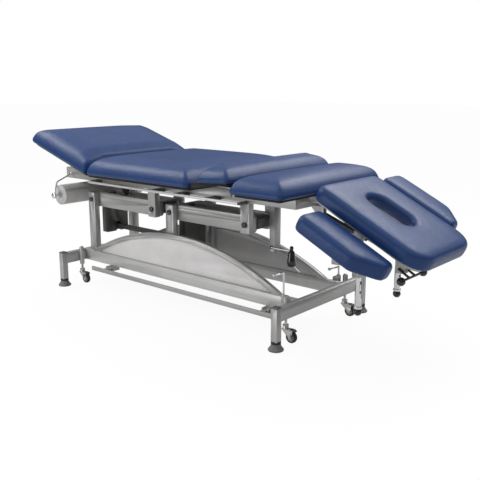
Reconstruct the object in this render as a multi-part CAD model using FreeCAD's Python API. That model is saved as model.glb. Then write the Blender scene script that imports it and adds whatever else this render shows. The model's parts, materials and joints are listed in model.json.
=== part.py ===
import FreeCAD, Part
import math
import os

# All lengths are in millimetres, all angles in degrees.
# X runs from the foot end to the head end, Y from the near side to the far side, Z upwards.

# Base frame
leg_x = 702.0
leg_y = 320.0
leg_side = 30.0
leg_low = 38.0
leg_top = 175.0
leg_cap_height = 7.0
cap_bevel = 2.0
tube_wall = 2.0
frame_bar_low = 120.0
frame_bar_high = 175.0
cross_bar_depth = 28.0
rail_depth = 30.0
near_rail_y = -184.0
far_rail_y = 144.0

foot_radius = 32.5
foot_edge = 7.0
foot_neck_radius = 19.0
foot_height = 30.0
foot_stem_radius = 6.0
foot_stem_top = 62.0
ring_radius = 20.5
plug_depth = 30.0
plug_gap = 0.15
thread_gap = 0.05

arch_half_chord = 628.0
arch_rise = 172.0
arch_band = 24.0
arch_lip = 5.0
arch_depth = 20.0
panel_depth = 8.0
panel_gap = 0.3

# Lift posts and pivots
post_foot_x = -660.0
post_gap = 124.0
post_width = 50.0
post_depth = 30.0
post_top = 479.0
near_post_y = -154.0
far_post_y = 114.0
pivot_z = 443.0
pin_radius = 8.0
pin_head_radius = 12.0
pin_head_depth = 8.0
running_gap = 0.05

# Link arms
arm_length = 466.0
arm_low = 404.0
arm_high = 478.0
arm_depth = 25.0
arm_end = 22.0
arm_round = 14.0
near_arm_y = -121.0
far_arm_y = -10.0
groove_depth = 1.5
groove_height = 3.0
crank_width = 50.0
crank_half = 75.0
crank_low = 255.0
crank_high = 470.0
crank_round = 14.0
crank_wall = 6.0
crank_roof = 60.0
crank_web_y = 20.0
boss_radius = 20.0
crank_pin_z = 282.0
slot_half = 14.0
foot_slots = ((0.0, 305.0),)
head_slots = ((0.0, 330.0), (45.0, 318.0))
tie_side = 54.0
tie_round = 12.0
drawbar_half = 10.0
drawbar_height = 24.0
drawbar_eye = 15.0

# Lift actuator
anchor_x = -500.0
anchor_z = 200.0
anchor_y = 45.0
anchor_radius = 7.0
cheek_depth = 5.0
cheek_gap = 1.0
cheek_width = 40.0
cross_member_width = 40.0
cross_member_height = 30.0
eye_depth = 24.0
eye_radius = 11.0
barrel_radius = 20.0
barrel_start = 26.0
barrel_end = 300.0
motor_radius = 26.0
motor_length = 95.0
motor_start = 45.0
piston_radius = 10.0
piston_start = 150.0

# Upper frame
upper_low = 541.0
upper_high = 597.0
upper_rail_outer = 153.0
upper_rail_depth = 50.0
upper_foot_x = -868.0
upper_head_x = 667.0
upper_corner = 3.0
foot_bar_width = 30.0
head_bar_width = 60.0
ratchet_bar = (-515.0, -495.0)
narrow_bar = (268.0, 280.0)
drain_radius = 4.0
board_depth = 12.0
deck_gap = 0.5
board_inset = 22.0

hanger_width = 50.0
hanger_depth = 30.0
hanger_low = 405.0
far_hanger_y = 17.0
lever_post_gap = 11.0
lever_post_width = 28.0
lever_post_y = (-25.0, 18.0)
lever_post_low = 307.0

side_bar_y = (-205.0, -193.0)
side_bar_z = (537.0, 549.0)
side_bar_x = (-620.0, 412.0)
stand_off_width = 46.0
stand_off_x = (-590.0, -118.0, 45.0, 240.0)
stand_off_low = 540.0
stand_off_high = 552.0
gusset_depth = 5.0
gusset_height = 41.0
gusset_shoulder = 9.0
gusset_x = (88.0, 322.0)
gusset_peak_x = 205.0

# Cushions and their boards
seat_x = (-438.0, 246.0)
chest_x = (475.0, 746.0)
deck_y = (-356.0, 384.0)
seat_height = 90.0
chest_height = 80.0
leg_pivot_x = -444.0
section_pivot_z = 590.0
leg_tilt = 17.3
leg_length = 464.0
leg_start = 6.0
leg_height = 95.0
narrow_pivot_x = 252.0
narrow_tilt = 4.0
narrow_start = 51.7
narrow_length = 176.0
narrow_height = 75.0
narrow_lift = 25.0
wedge_start = 4.0
wedge_reach = 148.0
wedge_rise = 11.0
leg_overrun = 96.0
section_pin_radius = 5.0
lug_depth = 6.0
lug_radius = 9.0
lug_y = 91.0
sector_y = -40.0
sector_depth = 6.0
leg_sector = (100.0, 146.0)
narrow_sector = (66.0, 100.0)
leg_sector_reach = 80.0
narrow_sector_reach = 62.0
tooth_depth = 7.0
tooth_step = 4.0
wedge_step = 10.0
pawl_gap = 3.0
leg_pawl_x = (-513.0, -500.0)
leg_pawl_z = (527.0, 541.0)
narrow_pawl_x = (270.0, 282.0)
narrow_pawl_z = (535.0, 541.0)
outer_round = 28.0
inner_round = 24.0
leg_corner = 30.0
broad_roll = 143.0
chest_roll = 128.0
narrow_roll = 134.0
head_roll = 44.0
arm_roll = 37.0
leg_lean_angle = 24.0

# Head section
head_pivot_x = 775.0
head_pivot_z = 575.0
head_tilt = 26.4
head_start = -11.0
head_length = 516.0
head_half_width = 217.0
head_lift = 24.5
head_board_depth = 10.0
head_height = 63.0
hole_start = 125.0
hole_length = 208.0
hole_half_width = 56.0
hole_flare = 7.0
board_flare = 28.0
head_lug_y = 56.0
head_lug_radius = 14.0
head_pin_radius = 6.0
head_near_round = 42.0
head_far_round = 90.0
board_corner = 50.0
spine_y = 110.0
spine_width = 22.0
spine_height = 24.0
spine_end = 330.0
head_cross = (20.0, 46.0)
rear_cross = (290.0, 330.0)

tube_x = 970.0
tube_y = 155.0
tube_radius = 13.5
tube_bore = 10.5
tube_top = 497.0
tube_plug = 20.0
slot_width = 5.0
slot_z = (235.0, 400.0)
notch_z = (262.0, 301.0)
notch_reach = 9.0
clamp_y = 170.0
clamp_width = 40.0
clamp_z = (470.0, 496.0)
tube_low = 203.0
collar_radius = 16.5
collar_height = 12.0
knob_radius = 16.5
knob_z = 180.0
knob_rod_radius = 6.0
knob_rod_head = 9.0
knob_rod_cap = 12.0
knob_travel = 8.0

arm_pad_start = 27.5
arm_pad_length = 369.0
arm_pad_width = 147.5
arm_pad_height = 66.0
arm_pad_y = 224.5
arm_pad_round = 33.0
arm_pad_nose = 93.0
arm_nose_side = 88.0
arm_outer_round = 65.0
near_drop = 71.0
near_back = 9.5
far_drop = -4.5
far_back = 4.0
sleeve_radius = 19.0
sleeve_height = 52.0
bracket_height = 12.0
bracket_width = 36.0
bracket_drop = 18.0
bracket_reach = 322.0
sleeve_drop = 78.0
riser_y = 174.0
riser_depth = 9.0
riser_width = 30.0
arm_board_depth = 8.0
arm_tip_round = 22.0
arm_nose_round = 30.0

# Tilt handle and gas strut of the head section
block_x = 1067.0
block_z = 340.0
block_size = (38.0, 34.0, 40.0)
cheek_y = 9.0
handle_pivot_z = 338.0
handle_side = 6.0
strut_end_x = 1050.0
strut_end_z = 380.0
strut_pin_radius = 4.0
strut_cheek_reach = 14.0
handle_x = 1113.0
handle_z = 312.0
handle_half = 90.0
handle_radius = 5.0
handle_ball = 17.0
strut_x = 690.0
strut_z = 510.0
strut_radius = 11.0
strut_rod_radius = 5.0
strut_start = 20.0
strut_end = 232.0
strut_rod_start = 120.0
strut_eye = 9.0
strut_eye_depth = 12.0
strut_cheek_y = 7.5
strut_cheek_depth = 5.0

# Hand lever under the chest section
lever_pivot_gap = 25.0
lever_pivot_z = 330.0
lever_reach = 112.0
lever_rod_radius = 4.0
grip_radius = 20.5
grip_low = 260.0
grip_high = 336.0
grip_neck = 14.5
grip_cap_radius = 9.0
grip_cap_top = 343.0
grip_belly = 20.0

# Paper roll and its holder
roll_set_back = 96.0
roll_z = 468.0
roll_radius = 52.0
roll_core_radius = 19.0
roll_half = 268.0
spindle_radius = 6.0
spindle_half = 312.0
disc_radius = 15.0
disc_depth = 9.0
holder_set_back = 53.0
holder_z = 567.0
holder_knob_radius = 9.0
holder_knob_depth = 16.0
holder_rod_radius = 4.0
bend_swell = 0.6

# Castors and pedal
castor_y = 222.0
wheel_radius = 25.0
wheel_width = 18.0
wheel_z = 30.0
wheel_trail = 30.0
wheel_bore = 4.0
tyre_bevel = 3.0
fork_depth = 3.0
fork_gap = 1.0
fork_top = 59.0
fork_width = 26.0
swivel_radius = 13.0
swivel_high = 72.0
swivel_depth = 6.0
stem_radius = 6.0
stem_top = 168.0
stem_room_top = 180.0
guide_low = 104.0
guide_radius = 12.0
guide_top = 188.0
pedal_y = -245.0
pedal_depth = 8.0
pedal_low = 95.0
pedal_high = 115.0
pedal_x = (-560.0, 640.0)
pedal_pivot_y = -205.0
pedal_pivot_z = 105.0
pedal_pivot_radius = 5.0
pedal_arm_x = (-470.0, 560.0)
pedal_arm_width = 22.0
bracket_plate = 5.0

# Upright levers on the head end of the base
lever_x = 650.0
near_lever_y = -205.0
near_lever_top = 291.0
far_lever_y = 205.0
far_lever_top = 234.0
lever_socket_radius = 11.0
lever_socket_top = 189.0
lever_socket_low = 160.0
lever_radius = 4.0
lever_collar_radius = 8.5
lever_bend = 50.0
lever_drop = 20.0
lever_knob_radius = 7.5

share_tall = 0.695
lean_share = 0.24
bend_share = 0.70
bend_x_share = 0.3
bend_z_share = 0.35
grip_foot_share = 0.45
hole_round_share = 0.96
hole_shares = (
    (0.0, 3.4),
    (0.25, 1.7),
    (0.5, 0.4),
    (0.7, 0.0),
    (0.85, 0.5),
    (0.94, 1.3),
    (1.0, 2.6),
)
foot_grooves = (455.0,)
head_grooves = (448.0, 462.0)
pillow_shares = (
    (0.0, 0.032),
    (0.06, 0.007),
    (0.13, 0.0),
    (0.22, 0.014),
    (0.33, 0.05),
    (0.46, 0.10),
    (0.60, 0.168),
    (0.72, 0.255),
    (0.82, 0.382),
    (0.90, 0.591),
    (1.0, 0.96),
)
narrow_shares = pillow_shares[:-3] + (
    (0.82, 0.368),
    (0.90, 0.502),
    (1.0, 0.583),
)
pad_shares = (
    (0.0, 0.12),
    (0.10, 0.035),
    (0.26, 0.0),
    (0.60, 0.0),
    (0.78, 0.06),
    (0.90, 0.18),
    (0.97, 0.36),
    (1.0, 0.75),
)

parts_folder = "parts"
os.makedirs(parts_folder, exist_ok=True)

across_axis = FreeCAD.Vector(0, 1, 0)
up_axis = FreeCAD.Vector(0, 0, 1)


def vec(x, y, z):
    return FreeCAD.Vector(x, y, z)


def span(centre, width):
    return (centre - width / 2, centre + width / 2)


def block(x, y, z):
    return Part.makeBox(x[1] - x[0], y[1] - y[0], z[1] - z[0], vec(x[0], y[0], z[0]))


def bar(start, end, radius):
    reach = end.sub(start)
    return Part.makeCylinder(radius, reach.Length, start, reach)


def pin_y(x, z, radius, y):
    return bar(vec(x, y[0], z), vec(x, y[1], z), radius)


def pin_z(x, y, radius, z):
    return bar(vec(x, y, z[0]), vec(x, y, z[1]), radius)


def pin_x(y, z, radius, x):
    return bar(vec(x[0], y, z), vec(x[1], y, z), radius)


def ball(x, y, z, radius):
    return Part.makeSphere(radius, vec(x, y, z))


def join(shapes):
    return shapes[0].multiFuse(shapes[1:]).removeSplitter()


def group(shapes):
    return Part.makeCompound(shapes)


def plate_y(points, y):
    corners = [vec(x, y[0], z) for x, z in points]
    face = Part.Face(Part.makePolygon(corners + corners[:1]))
    return face.extrude(vec(0, y[1] - y[0], 0))


def soften(shape, radius, direction):
    edges = []
    for edge in shape.Edges:
        ends = [vertex.Point for vertex in edge.Vertexes]
        if len(ends) == 2 and abs(ends[1].sub(ends[0]).normalize().dot(direction)) > 1 - running_share:
            edges.append(edge)
    return shape.makeFillet(radius, edges)


def tilted(shape, x, z, angle):
    turned = shape.copy()
    turned.rotate(vec(x, 0, z), across_axis, angle)
    return turned


def moved(shape, x, y, z):
    copy = shape.copy()
    copy.translate(vec(x, y, z))
    return copy


def mirrored(shape):
    return shape.mirror(vec(0, 0, 0), across_axis)


def inset_corners(corners, inset):
    count = len(corners)
    result = []
    for index in range(count):
        before = corners[index - 1]
        here = corners[index]
        after = corners[(index + 1) % count]
        first = (here[0] - before[0], here[1] - before[1])
        second = (after[0] - here[0], after[1] - here[1])
        first_length = math.hypot(first[0], first[1])
        second_length = math.hypot(second[0], second[1])
        n1 = (-first[1] / first_length, first[0] / first_length)
        n2 = (-second[1] / second_length, second[0] / second_length)
        spread = 1 + n1[0] * n2[0] + n1[1] * n2[1]
        shift_x = inset * (n1[0] + n2[0]) / spread
        shift_y = inset * (n1[1] + n2[1]) / spread
        result.append((here[0] + shift_x, here[1] + shift_y))
    return result


def rounded_wire(corners, radii, z):
    count = len(corners)
    edges = []
    last_end = None
    first_start = None
    for index in range(count):
        before = vec(corners[index - 1][0], corners[index - 1][1], z)
        here = vec(corners[index][0], corners[index][1], z)
        after = vec(corners[(index + 1) % count][0], corners[(index + 1) % count][1], z)
        back = before.sub(here).normalize()
        ahead = after.sub(here).normalize()
        half = back.getAngle(ahead) / 2
        cut = radii[index] / math.tan(half)
        reach = radii[index] / math.sin(half)
        start = here.add(vec(back.x * cut, back.y * cut, 0))
        end = here.add(vec(ahead.x * cut, ahead.y * cut, 0))
        middle_way = back.add(ahead).normalize()
        gap = reach - radii[index]
        middle = here.add(vec(middle_way.x * gap, middle_way.y * gap, 0))
        if last_end is not None:
            edges.append(Part.LineSegment(last_end, start).toShape())
        else:
            first_start = start
        edges.append(Part.Arc(start, middle, end).toShape())
        last_end = end
    edges.append(Part.LineSegment(last_end, first_start).toShape())
    return Part.Wire(edges)


def pad(corners, radii, low, height, roll, shares, least_share):
    wires = []
    for rise_share, inset_share in shares:
        inset = inset_share * roll
        smaller = [max(radius - inset, radius * least_share) for radius in radii]
        wires.append(rounded_wire(inset_corners(corners, inset), smaller, low + height * rise_share))
    return Part.makeLoft(wires, True, True)


def pillow(x, radii, height, roll):
    corners = rectangle(x, deck_y)
    return pad(corners, radii, deck_top, height, roll, pillow_shares, ridge_share)


def rectangle(x, y):
    return [(x[0], y[0]), (x[1], y[0]), (x[1], y[1]), (x[0], y[1])]


def arc_profile(radius, half_chord, low, y):
    centre_z = frame_bar_high + arch_rise - arch_radius
    left = vec(-half_chord, y, low)
    right = vec(half_chord, y, low)
    top = vec(0, y, centre_z + radius)
    curve = Part.Arc(left, top, right).toShape()
    base = Part.LineSegment(right, left).toShape()
    return Part.Face(Part.Wire([curve, base]))


running_share = 0.001
least_radius_share = 0.45
ridge_share = 0.15
arch_radius = (arch_half_chord ** 2 + arch_rise ** 2) / (2 * arch_rise)
arch_centre_z = frame_bar_high + arch_rise - arch_radius
post_mid_x = post_foot_x + arm_length + post_gap
foot_hanger_x = post_foot_x + arm_length
head_hanger_x = post_mid_x + arm_length
centre_bar = span(foot_hanger_x, hanger_width)
lever_pivot_x = head_hanger_x + hanger_width / 2 + lever_pivot_gap
lever_post_low_x = head_hanger_x + hanger_width / 2 + lever_post_gap
lever_post_x = (lever_post_low_x, lever_post_low_x + lever_post_width)
head_centre_bar = (head_hanger_x - hanger_width / 2, lever_post_x[1])
holder_x = upper_foot_x + holder_set_back
roll_x = upper_foot_x + roll_set_back
deck_top = upper_high + board_depth
wedge_top = deck_top + narrow_lift
rail_low_y = (near_rail_y, near_rail_y + rail_depth)
rail_far_y = (far_rail_y, far_rail_y + rail_depth)
tip_reach = leg_start + leg_length
leg_tip_x = leg_pivot_x - tip_reach * math.cos(math.radians(leg_tilt))
head_reach = head_start + head_length
head_tip_x = head_pivot_x + head_reach * math.cos(math.radians(head_tilt))
leg_top_rise = deck_top + leg_height - section_pivot_z
leg_lean = leg_top_rise * lean_share * math.sin(math.radians(leg_tilt))
head_top_rise = head_lift + head_board_depth + head_height * share_tall
head_lean = head_top_rise * math.sin(math.radians(head_tilt))
middle_x = (leg_tip_x + leg_lean + head_tip_x + head_lean) / 2
middle_y = (deck_y[1] - arm_pad_y - arm_pad_width) / 2


def save(shape, node):
    placed = shape.copy()
    placed.translate(vec(-middle_x, -middle_y, 0))
    placed.exportStep(parts_folder + "/" + node + ".step")


def end_frame(side):
    inner = leg_side - 2 * tube_wall
    solids = []
    voids = []
    for way in (-1, 1):
        x = span(side * leg_x, leg_side)
        y = span(way * leg_y, leg_side)
        solids.append(block(x, y, (leg_low, leg_top)))
        hollow_x = span(side * leg_x, inner)
        hollow_y = span(way * leg_y, inner)
        voids.append(block(hollow_x, hollow_y, (leg_low, leg_top - tube_wall)))
    reach = leg_y - leg_side / 2
    bar_x = span(side * leg_x, cross_bar_depth)
    solids.append(block(bar_x, (-reach, reach), (frame_bar_low, frame_bar_high)))
    hollow = block(
        span(side * leg_x, cross_bar_depth - 2 * tube_wall),
        (-reach - tube_wall, reach + tube_wall),
        (frame_bar_low + tube_wall, frame_bar_high - tube_wall),
    )
    return join(solids).cut(group(voids + [hollow]))


def side_rails():
    reach = leg_x - cross_bar_depth / 2
    rails = []
    for y in (rail_low_y, rail_far_y):
        outer = block((-reach, reach), y, (frame_bar_low, frame_bar_high))
        inner = block(
            (-reach, reach),
            (y[0] + tube_wall, y[1] - tube_wall),
            (frame_bar_low + tube_wall, frame_bar_high - tube_wall),
        )
        rails.append(outer.cut(inner))
    return group(rails)


def lens_half_chord(radius, low):
    return math.sqrt(radius ** 2 - (low - arch_centre_z) ** 2)


def side_arches():
    arches = []
    lens_radius = arch_radius - arch_band
    lens_low = frame_bar_high + arch_lip
    for y in (near_rail_y, far_rail_y):
        plate = arc_profile(arch_radius, arch_half_chord, frame_bar_high, y)
        lens = arc_profile(lens_radius, lens_half_chord(lens_radius, lens_low), lens_low, y)
        outer = plate.extrude(vec(0, arch_depth, 0))
        arches.append(outer.cut(lens.extrude(vec(0, arch_depth, 0))))
    return group(arches)


def arch_panels():
    panels = []
    radius = arch_radius - arch_band - panel_gap
    low = frame_bar_high + arch_lip
    recess = (arch_depth - panel_depth) / 2
    for y in (near_rail_y, far_rail_y):
        face = arc_profile(radius, lens_half_chord(radius, low), low, y + recess)
        panels.append(face.extrude(vec(0, panel_depth, 0)))
    return group(panels)


def leg_places():
    return [(side * leg_x, way * leg_y) for side in (-1, 1) for way in (-1, 1)]


def leg_caps():
    caps = []
    for x, y in leg_places():
        cap = block(span(x, leg_side), span(y, leg_side), (leg_top, leg_top + leg_cap_height))
        top = [edge for edge in cap.Edges if edge.BoundBox.ZMin > leg_top + leg_cap_height / 2]
        caps.append(cap.makeChamfer(cap_bevel, top))
    return group(caps)


def foot_rings():
    rings = []
    side = leg_side - 2 * tube_wall - 2 * plug_gap
    for x, y in leg_places():
        flange = pin_z(x, y, ring_radius, (foot_height, leg_low))
        plug = block(span(x, side), span(y, side), (leg_low, leg_low + plug_depth))
        bore = pin_z(x, y, foot_stem_radius + thread_gap, (foot_height, leg_low + plug_depth))
        rings.append(join([flange, plug]).cut(bore))
    return group(rings)


def foot_pads():
    pads = []
    for x, y in leg_places():
        profile = [
            (0, 0),
            (foot_radius, 0),
            (foot_radius, foot_edge),
            (foot_neck_radius, foot_height),
            (foot_stem_radius, foot_height),
            (foot_stem_radius, foot_stem_top),
            (0, foot_stem_top),
        ]
        points = [vec(x + r, y, z) for r, z in profile]
        face = Part.Face(Part.makePolygon(points + points[:1]))
        pads.append(face.revolve(vec(x, y, 0), up_axis, 360))
    return group(pads)


def lift_posts():
    posts = []
    for x in (post_foot_x, post_mid_x):
        for y in (near_post_y, far_post_y):
            outer = block(span(x, post_width), (y, y + post_depth), (frame_bar_low, post_top))
            inner = block(
                span(x, post_width - 2 * tube_wall),
                (y + tube_wall, y + post_depth - tube_wall),
                (frame_bar_low, post_top - tube_wall),
            )
            bore = pin_y(x, pivot_z, pin_radius, (y, y + post_depth))
            posts.append(outer.cut(group([inner, bore])))
    return group(posts)


def base_pivot_bolts():
    bolts = []
    for x in (post_foot_x, post_mid_x):
        near_head = pin_y(x, pivot_z, pin_head_radius, (near_post_y - pin_head_depth, near_post_y))
        near_shank = pin_y(x, pivot_z, pin_radius, (near_post_y, near_arm_y + arm_depth))
        bolts.append(join([near_head, near_shank]))
        outer = far_post_y + post_depth
        far_head = pin_y(x, pivot_z, pin_head_radius, (outer, outer + pin_head_depth))
        far_shank = pin_y(x, pivot_z, pin_radius, (crank_half - boss_radius, outer))
        bolts.append(join([far_head, far_shank]))
    return group(bolts)


def actuator_mount():
    member = block(
        span(anchor_x, cross_member_width),
        (rail_low_y[1], rail_far_y[0]),
        (frame_bar_low, frame_bar_low + cross_member_height),
    )
    solids = [member]
    inner = eye_depth / 2 + cheek_gap
    for way in (-1, 1):
        y = sorted((anchor_y + way * inner, anchor_y + way * (inner + cheek_depth)))
        low = frame_bar_low + cross_member_height
        cheek = block(span(anchor_x, cheek_width), y, (low, anchor_z))
        crown = pin_y(anchor_x, anchor_z, cheek_width / 2, y)
        solids.append(join([cheek, crown]))
    reach = inner + cheek_depth
    pin = pin_y(anchor_x, anchor_z, anchor_radius, (anchor_y - reach, anchor_y + reach))
    return join(solids + [pin])


def link_arm(x, y, grooves):
    outer = block((x - arm_end, x + arm_length + arm_end), (y, y + arm_depth), (arm_low, arm_high))
    outer = soften(outer, arm_round, across_axis)
    cuts = []
    for height in grooves:
        cuts.append(block(
            (x + arm_end, x + arm_length - arm_end),
            (y, y + groove_depth),
            (height, height + groove_height),
        ))
    return outer.cut(group(cuts))


def near_and_far_arm(x, grooves):
    near = link_arm(x, near_arm_y, grooves)
    far = link_arm(x, far_arm_y, grooves)
    far = far.cut(block(
        (x - arm_end - arm_round, x + crank_width / 2),
        (far_arm_y, far_arm_y + arm_depth),
        (arm_low, arm_high),
    ))
    hole_radius = pin_radius + running_gap
    holes = [
        pin_y(x, pivot_z, hole_radius, (near_arm_y, near_arm_y + arm_depth)),
        pin_y(x + arm_length, pivot_z, hole_radius, (near_arm_y, near_arm_y + arm_depth)),
        pin_y(x + arm_length, pivot_z, hole_radius, (far_arm_y, far_arm_y + arm_depth)),
    ]
    return group([near.cut(group(holes[:2])), far.cut(holes[2])])


def crank(x, slot_side, slots):
    outer = block(span(x, crank_width), (-crank_half, crank_half), (crank_low, crank_high))
    outer = soften(outer, crank_round, up_axis)
    inner_half = crank_half - crank_wall
    inner = block(
        span(x, crank_width - 2 * crank_wall),
        (-inner_half, inner_half),
        (crank_low, crank_high - crank_roof),
    )
    web = block(
        span(x, crank_width - 2 * crank_wall),
        (crank_web_y, crank_web_y + crank_wall),
        (crank_low, crank_high - crank_roof),
    )
    wall_x = sorted((x + slot_side * crank_width / 4, x + slot_side * crank_width))
    ways = [block(wall_x, span(y, 2 * slot_half), (crank_low, top)) for y, top in slots]
    body = outer.cut(inner).fuse(web).cut(group(ways))
    boss = pin_y(x, pivot_z, boss_radius, (near_arm_y + arm_depth, -crank_half))
    pin = pin_y(x, crank_pin_z, pin_radius, (-crank_half, crank_web_y + crank_wall))
    bore = pin_y(x, pivot_z, pin_radius + running_gap, (crank_half - boss_radius, crank_half))
    return join([body, boss, pin]).cut(bore)


def tie_box(x):
    y = (near_arm_y + arm_depth, far_arm_y)
    tie = block(span(x, tie_side), y, span(pivot_z, tie_side))
    return soften(tie, tie_round, across_axis)


def crank_set(x, slot_side, slots):
    return group([crank(x, slot_side, slots), tie_box(x + arm_length)])


def drawbar():
    y = (-drawbar_half, drawbar_half)
    solids = [block((post_foot_x, post_mid_x), y, span(crank_pin_z, drawbar_height))]
    holes = []
    for x in (post_foot_x, post_mid_x):
        solids.append(pin_y(x, crank_pin_z, drawbar_eye, y))
        holes.append(pin_y(x, crank_pin_z, pin_radius + running_gap, y))
    return join(solids).cut(group(holes))


def actuator_angle():
    return math.degrees(math.atan2(crank_pin_z - anchor_z, post_mid_x - anchor_x))


def actuator_length():
    return math.hypot(crank_pin_z - anchor_z, post_mid_x - anchor_x)


def actuator_body():
    eye = pin_y(anchor_x, anchor_z, cheek_width / 2 - cheek_gap, span(anchor_y, eye_depth))
    barrel = pin_x(anchor_y, anchor_z, barrel_radius, (anchor_x, anchor_x + barrel_end))
    motor_z = anchor_z - barrel_radius - motor_radius + cheek_gap
    motor_x = (anchor_x + motor_start, anchor_x + motor_start + motor_length)
    motor = pin_x(anchor_y, motor_z, motor_radius, motor_x)
    saddle_x = (motor_x[0], motor_x[0] + motor_length / 3)
    saddle = block(saddle_x, span(anchor_y, barrel_radius), (motor_z, anchor_z))
    trim = block(
        (anchor_x - cheek_width, anchor_x + barrel_start),
        (anchor_y - 2 * barrel_radius, anchor_y - eye_depth / 2),
        (anchor_z - cheek_width, anchor_z + cheek_width),
    )
    trim_far = moved(trim, 0, 2 * barrel_radius + eye_depth / 2, 0)
    body = join([eye, barrel, motor, saddle]).cut(group([trim, trim_far]))
    hole = pin_y(anchor_x, anchor_z, anchor_radius + running_gap, span(anchor_y, eye_depth))
    bore_x = (anchor_x + barrel_start + piston_radius, anchor_x + barrel_end)
    bore = pin_x(anchor_y, anchor_z, piston_radius + running_gap, bore_x)
    return tilted(body.cut(group([hole, bore])), anchor_x, anchor_z, -actuator_angle())


def actuator_rod():
    end_x = anchor_x + actuator_length()
    piston = pin_x(anchor_y, anchor_z, piston_radius, (anchor_x + piston_start, end_x))
    eye = pin_y(end_x, anchor_z, eye_radius, span(anchor_y, eye_depth))
    hole = pin_y(end_x, anchor_z, anchor_radius + running_gap, span(anchor_y, eye_depth))
    return tilted(join([piston, eye]).cut(hole), anchor_x, anchor_z, -actuator_angle())


def upper_frame():
    z = (upper_low, upper_high)
    outer = block((upper_foot_x, upper_head_x), (-upper_rail_outer, upper_rail_outer), z)
    ends = [edge for edge in outer.Edges if edge.Length < upper_rail_outer and edge.BoundBox.XMin > 0]
    outer = outer.makeFillet(upper_corner, [edge for edge in ends if edge.BoundBox.ZLength > upper_corner])
    inner = upper_rail_outer - upper_rail_depth
    stops = (
        (upper_foot_x + foot_bar_width, ratchet_bar[0]),
        (ratchet_bar[1], centre_bar[0]),
        (centre_bar[1], narrow_bar[0]),
        (narrow_bar[1], head_centre_bar[0]),
        (head_centre_bar[1], upper_head_x - head_bar_width),
    )
    for x in stops:
        outer = outer.cut(block(x, (-inner, inner), z))
    cuts = []
    for way in (-1, 1):
        centre_y = way * (upper_rail_outer - upper_rail_depth / 2)
        cuts.append(block(
            (upper_foot_x + tube_wall, upper_head_x - head_bar_width),
            span(centre_y, upper_rail_depth - 2 * tube_wall),
            (upper_low + tube_wall, upper_high - tube_wall),
        ))
        for x in (upper_foot_x / 2, upper_head_x / 2):
            cuts.append(pin_z(x, centre_y, drain_radius, (upper_low, upper_low + 2 * tube_wall)))
    return outer.cut(group(cuts))


def board_y():
    return (deck_y[0] + board_inset, deck_y[1] - board_inset)


def deck_boards():
    z = (upper_high, deck_top)
    seat = block((seat_x[0] + cap_bevel, seat_x[1] - cap_bevel), board_y(), z)
    chest = block((chest_x[0] + board_inset, chest_x[1] - board_inset), board_y(), z)
    return group([seat, chest])


def hangers():
    shapes = []
    for x in (foot_hanger_x, head_hanger_x):
        for y in (-upper_rail_outer, far_hanger_y):
            outer = block(span(x, hanger_width), (y, y + hanger_depth), (hanger_low, upper_low))
            bore = pin_y(x, pivot_z, pin_radius, (y, y + hanger_depth))
            shapes.append(outer.cut(bore))
    return group(shapes)


def hanger_bolts():
    bolts = []
    for x in (foot_hanger_x, head_hanger_x):
        near = -upper_rail_outer
        head = pin_y(x, pivot_z, pin_head_radius, (near - pin_head_depth, near))
        shank = pin_y(x, pivot_z, pin_radius, (near, near_arm_y + arm_depth))
        bolts.append(join([head, shank]))
        outer = far_hanger_y + hanger_depth
        head = pin_y(x, pivot_z, pin_head_radius, (outer, outer + pin_head_depth))
        shank = pin_y(x, pivot_z, pin_radius, (far_arm_y, outer))
        bolts.append(join([head, shank]))
    return group(bolts)


def side_bar():
    solids = [block(side_bar_x, side_bar_y, side_bar_z)]
    for x in stand_off_x:
        y = (side_bar_y[1], -upper_rail_outer)
        solids.append(block(span(x, stand_off_width), y, (stand_off_low, stand_off_high)))
    hook_x = (side_bar_x[1] - (side_bar_y[1] - side_bar_y[0]), side_bar_x[1])
    solids.append(block(hook_x, (side_bar_y[1], -upper_rail_outer), side_bar_z))
    return join(solids)


def gusset_plates():
    low = upper_high - gusset_height
    points = [
        (gusset_x[0], low),
        (gusset_peak_x, upper_high - deck_gap),
        (gusset_x[1], upper_high - gusset_shoulder),
        (gusset_x[1], low),
    ]
    near = plate_y(points, (-upper_rail_outer - gusset_depth, -upper_rail_outer))
    return [near, mirrored(near)]


def seat_pad():
    return pillow(seat_x, [inner_round] * len(rectangle(seat_x, deck_y)), seat_height, broad_roll)


def chest_pad():
    radii = [inner_round, outer_round, outer_round, inner_round]
    return pillow(chest_x, radii, chest_height, chest_roll)


def section_lugs(pivot_x, board_x, board_low):
    lugs = []
    for way in (-1, 1):
        y = sorted((way * lug_y, way * (lug_y + lug_depth)))
        disc = pin_y(pivot_x, section_pivot_z, lug_radius, y)
        x = sorted((pivot_x, board_x))
        arm = block(x, y, (section_pivot_z, board_low))
        hole = pin_y(pivot_x, section_pivot_z, section_pin_radius + running_gap, y)
        lugs.append(join([disc, arm]).cut(hole))
    return lugs


def sector(pivot_x, side, radii, reach, low):
    y = (sector_y, sector_y + sector_depth)
    ring = pin_y(pivot_x, section_pivot_z, radii[1], y)
    ring = ring.cut(pin_y(pivot_x, section_pivot_z, radii[0] + tooth_depth, y))
    rim = pin_y(pivot_x, section_pivot_z, radii[0] + tooth_depth, y)
    rim = rim.cut(pin_y(pivot_x, section_pivot_z, radii[0], y))
    count = int(reach / (2 * tooth_step))
    teeth = []
    for index in range(count):
        start = index * 2 * tooth_step
        teeth.append(wedge(pivot_x, side, start, start + tooth_step, radii[1], y))
    ring = ring.common(wedge(pivot_x, side, 0, reach, 2 * radii[1], y))
    rim = rim.common(group(teeth))
    top = block(
        sorted((pivot_x + side * radii[0], pivot_x + side * radii[1])),
        y,
        (section_pivot_z, low),
    )
    return join([ring, rim, top])


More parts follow.
